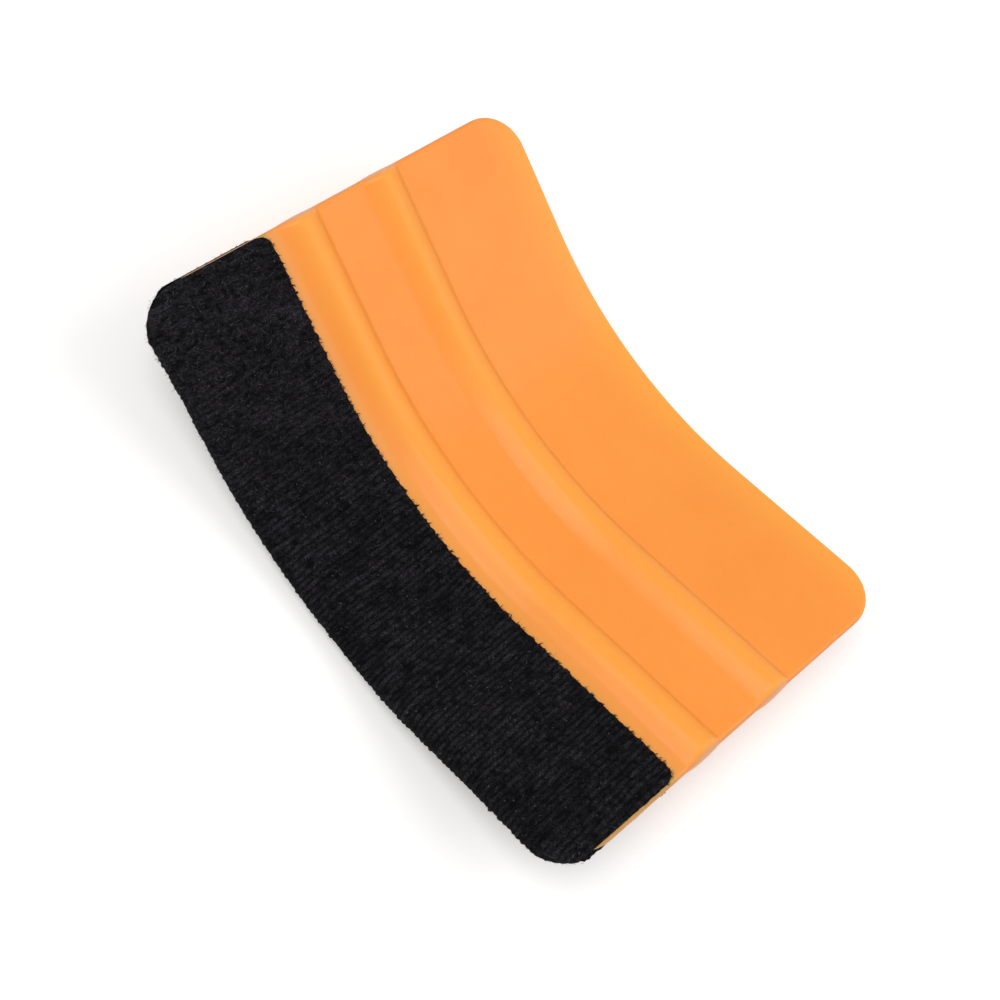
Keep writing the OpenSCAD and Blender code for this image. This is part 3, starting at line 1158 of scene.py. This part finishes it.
def raise_nap(strip, face, side, seed):
    """Brushed fibres that stand off one half of the strip's outside: a dark nap and pale curls."""
    felt = strip.shape.felt
    draw = np.random.default_rng(seed)
    count = felt.nap_count
    along = draw.uniform(-strip.half_length, strip.half_length, count)
    around = side * draw.uniform(-NAP_OVERLAP, strip.half_width, count)
    along, around = strip.fit(along, around)
    pile = strip.pile(along, around)
    level = felt.thickness - felt.rib_height * (1 - pile) - NAP_ROOT
    roots = strip.place(along, around, level)
    up = (strip.place(along, around, level + MM) - roots) / MM
    lean_along = draw.normal(0, LEAN_ALONG, count)[:, None]
    lean_around = draw.normal(BRUSHED * side, LEAN_AROUND, count)[:, None]
    beside = strip.beside(along, around, level)
    direction = up * NAP_RISE + beside * lean_around + ALONG * lean_along
    lengths = felt.nap_length * draw.uniform(*NAP_LENGTHS, count)
    widths = draw.uniform(*NAP_WIDTHS, count) * MM
    # Painted shade on fibres rooted in a groove, and painted light on those on a rib's top
    lit = GROOVE_PAINTED_SHADE + RIB_PAINTED_LIGHT * pile**2
    shades = np.clip(draw.gamma(*NAP_SHADES, count) * lit, 0, 1)
    worn = strip.worn(along)
    shades *= FRESH_SHADE + WORN_SHADE * worn
    pale = draw.random(count) < CURL_SHARE + WORN_CURLS * worn
    shades = np.where(pale, draw.uniform(*CURL_SHADES, count), shades)
    lengths = np.where(pale, CURL_LENGTH * lengths, lengths)
    widths = np.where(pale, CURL_WIDTH * widths, widths)
    bows = draw.normal(0, CURL_BOW, (count, 3)) + up * CURL_LIFT
    nap = [part[~pale] for part in (roots, direction, lengths, widths, shades)]
    curls = [part[pale] for part in (roots, direction, lengths, widths, shades, bows)]
    return needles("felt_nap_" + face, *nap), needles("felt_curls_" + face, *curls)


def fray_edges(strip):
    """Tufts of loose strands along the long cut edges, and shorter strands at the strip's ends."""
    felt = strip.shape.felt
    draw = np.random.default_rng(77)
    along, around, outward = [], [], []
    for side in (-1, 1):
        place = -strip.half_length
        while place < strip.half_length:
            place += draw.uniform(*TUFT_STEPS) * TOOTH_PITCH * (0.5 + draw.random())
            strands = int(draw.integers(*TUFT_STRANDS))
            spread = draw.normal(0, TUFT_SPREAD, strands)
            slant = draw.normal(*TUFT_SLANTS)
            along += list(place + spread)
            around += [side * strip.half_width] * strands
            for _ in range(strands):
                outward.append((slant + draw.normal(0, STRAND_SLANT), side * 1.0))
        for _ in range(int(2 * strip.half_width / END_STRAND_PITCH)):
            along.append(side * strip.half_length)
            around.append(draw.uniform(-strip.half_width, strip.half_width))
            outward.append((side * 1.0, draw.normal(0, END_STRAND_SLANT)))
    along = np.clip(np.array(along), -strip.half_length, strip.half_length)
    around, outward = np.array(around), np.array(outward)
    along, around = strip.fit(along, around)
    count = len(along)
    low = draw.uniform(*FRINGE_LEVELS, count) * felt.thickness
    roots = strip.place(along * FRINGE_ROOTS[0], around * FRINGE_ROOTS[1], low)
    beside = strip.beside(along, around, low)
    direction = beside * outward[:, 1:] + ALONG * outward[:, :1]
    direction[:, 2] += draw.normal(0, FRINGE_TILT, count)
    lengths = draw.uniform(*FRINGE_LENGTHS, count) * MM
    lengths *= np.where(np.abs(outward[:, 1]) == 1, 1.0, END_STRAND_LENGTH)
    widths = draw.uniform(*FRINGE_WIDTHS, count) * MM
    shades = np.clip(draw.gamma(*FRINGE_SHADES, count), 0, 1)
    bows = draw.normal(0, FRINGE_BOW, (count, 3))
    return needles("felt_fringe", roots, direction, lengths, widths, shades, bows)


class APPLICATOR_OT_felt(bpy.types.Operator):
    """Folds the felt strip over the card's edge, with its knit, nap and frayed cut edges"""

    bl_idname = "applicator.felt"
    bl_label = "Felt strip"

    def execute(self, context):
        shape = shape_of(context)
        strip = Strip(shape)
        body = felt_body(strip)
        fibres = [
            *raise_nap(strip, "front", 1, 31),
            *raise_nap(strip, "back", -1, 32),
            fray_edges(strip),
        ]
        flex(body, shape, smooth_angle=math.radians(70))
        body.data.materials.append(felt_finish(shape.felt))
        hairs = fibre_finish(shape.felt)
        for piece in fibres:
            flex(piece, shape, smooth_angle=0)
            piece.data.materials.append(hairs)
        for piece in (body, *fibres):
            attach(piece, ROOT_BODY)
        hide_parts("felt_strip")
        return {"FINISHED"}


def film_body(shape):
    """The film as a thin closed shell between the card and the felt, tucked in at the corners."""
    felt = shape.felt
    strip = Strip(shape, inset=felt.film_inset, tuck=felt.thickness + CORNER_CLEAR)
    along, around = strip.even_grid(*FILM_GRID)
    outside = strip.place(along, around, -FILM_CLEAR + 0 * along)
    inside = strip.place(along, around, FILM_CLEAR - felt.film + 0 * along)
    index = grid_index(outside)
    edge = index[border(outside)]
    following = np.roll(edge, -1)
    walls = np.stack([edge, edge + index.size, following + index.size, following], -1)
    faces = np.concatenate([quads(index), quads(index + index.size)[:, ::-1], walls])
    points = np.concatenate([outside.reshape(-1, 3), inside.reshape(-1, 3)])
    return build_mesh("felt_film", points, faces, 4)


class APPLICATOR_OT_film(bpy.types.Operator):
    """Lays the adhesive film that holds the felt to both faces and round the edge"""

    bl_idname = "applicator.film"
    bl_label = "Adhesive film"

    def execute(self, context):
        shape = shape_of(context)
        film = film_body(shape)
        flex(film, shape)
        film.data.materials.append(film_finish(shape.felt))
        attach(film, ROOT_BODY)
        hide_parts("felt_adhesive")
        return {"FINISHED"}


# ---------------------------------------------------------------- the stage

SENSOR_WIDTH = 36
FLOOR_RADIUS = 1.6
# The floor's own light grows from here outward, so that it stays white as far as it is seen
GLOW_FROM = 0.2
GLOW_TO = 1.0
FAR_GLOW = 0.62
# Name, place, size, power and tint of each light
LIGHTS = (
    ("key_light", (-0.2, -0.55, 1.1), 0.9, 9.2, (1.0, 0.99, 0.96)),
    ("fill_light", (0.6, 0.55, 0.85), 1.0, 4.2, (0.98, 0.99, 1.0)),
)


def add_light(name, place, size, power, tint):
    """A round lamp that shines on the part's base."""
    light = bpy.data.lights.new(name, "AREA")
    light.shape = "DISK"
    light.size = size
    light.energy = power
    light.color = tint
    lamp = bpy.data.objects.new(name, light)
    lamp.location = place
    lamp.rotation_euler = (-Vector(place)).to_track_quat("-Z", "Y").to_euler()
    bpy.context.collection.objects.link(lamp)


def set_world(stage):
    """Soft light from all round, and white wherever the room is seen."""
    world = bpy.data.worlds.new("soft_room")
    world.use_nodes = True
    tree = world.node_tree
    background = tree.nodes["Background"]
    background.inputs["Color"].default_value = (1, 1, 1, 1)
    shown = seen_directly(tree, 1 - stage.fill_level)
    total = add_node(tree, "Math", {0: shown, 1: stage.fill_level}, operation="ADD")
    tree.links.new(total.outputs[0], background.inputs["Strength"])
    bpy.context.scene.world = world


def add_camera(stage):
    azimuth, elevation = stage.azimuth, stage.elevation
    out = math.cos(elevation)
    back = Vector((math.sin(azimuth) * out, -math.cos(azimuth) * out, math.sin(elevation)))
    level = (-back).cross(Vector((0, 0, 1))).normalized()
    sunk = (-back).cross(level)
    right = level * math.cos(stage.roll) + sunk * math.sin(stage.roll)
    up = back.cross(right)
    data = bpy.data.cameras.new("camera")
    data.lens = stage.lens
    data.sensor_width = SENSOR_WIDTH
    data.clip_start = 10 * MM
    camera = bpy.data.objects.new("camera", data)
    turn = Matrix((right, up, back)).transposed().to_4x4()
    camera.matrix_world = Matrix.Translation(Vector(stage.aim) + back * stage.distance) @ turn
    bpy.context.collection.objects.link(camera)
    bpy.context.scene.camera = camera


class APPLICATOR_OT_stage(bpy.types.Operator):
    """Adds the pale floor, the soft lights and the camera"""

    bl_idname = "applicator.stage"
    bl_label = "Stage"

    def execute(self, context):
        stage = context.scene.applicator_stage
        deselect_all()
        bpy.ops.mesh.primitive_circle_add(vertices=96, radius=FLOOR_RADIUS, fill_type="NGON")
        floor = context.object
        floor.name = "floor"
        floor.data.materials.append(floor_finish(stage))
        for light in LIGHTS:
            add_light(*light)
        set_world(stage)
        add_camera(stage)
        context.scene.view_settings.view_transform = "Standard"
        return {"FINISHED"}


# ---------------------------------------------------------------- the add-on


class APPLICATOR_PT_panel(bpy.types.Panel):
    """Lists the applicator's sizes, colours and pieces"""

    bl_label = "Applicator"
    bl_idname = "APPLICATOR_PT_panel"
    bl_space_type = "VIEW_3D"
    bl_region_type = "UI"
    bl_category = "Applicator"

    def draw(self, context):
        layout = self.layout
        for group, operators in PANEL_ROWS:
            settings = getattr(context.scene, group)
            box = layout.box()
            for name in settings.__annotations__:
                box.prop(settings, name)
            for operator in operators:
                box.operator(operator)


GROUPS = {
    "applicator_card": APPLICATOR_PG_card,
    "applicator_felt": APPLICATOR_PG_felt,
    "applicator_stage": APPLICATOR_PG_stage,
}
PANEL_ROWS = (
    ("applicator_card", ("applicator.card",)),
    ("applicator_felt", ("applicator.felt", "applicator.film")),
    ("applicator_stage", ("applicator.stage",)),
)
OPERATORS = (APPLICATOR_OT_card, APPLICATOR_OT_felt, APPLICATOR_OT_film, APPLICATOR_OT_stage)


def register():
    for group in (*GROUPS.values(), *OPERATORS, APPLICATOR_PT_panel):
        bpy.utils.register_class(group)
    for name, group in GROUPS.items():
        setattr(bpy.types.Scene, name, PointerProperty(type=group))


def unregister():
    for name in GROUPS:
        delattr(bpy.types.Scene, name)
    for group in reversed((*GROUPS.values(), *OPERATORS, APPLICATOR_PT_panel)):
        bpy.utils.unregister_class(group)


def main():
    register()
    bpy.ops.applicator.card()
    bpy.ops.applicator.felt()
    bpy.ops.applicator.film()
    bpy.ops.applicator.stage()


if __name__ == "__main__":
    main()
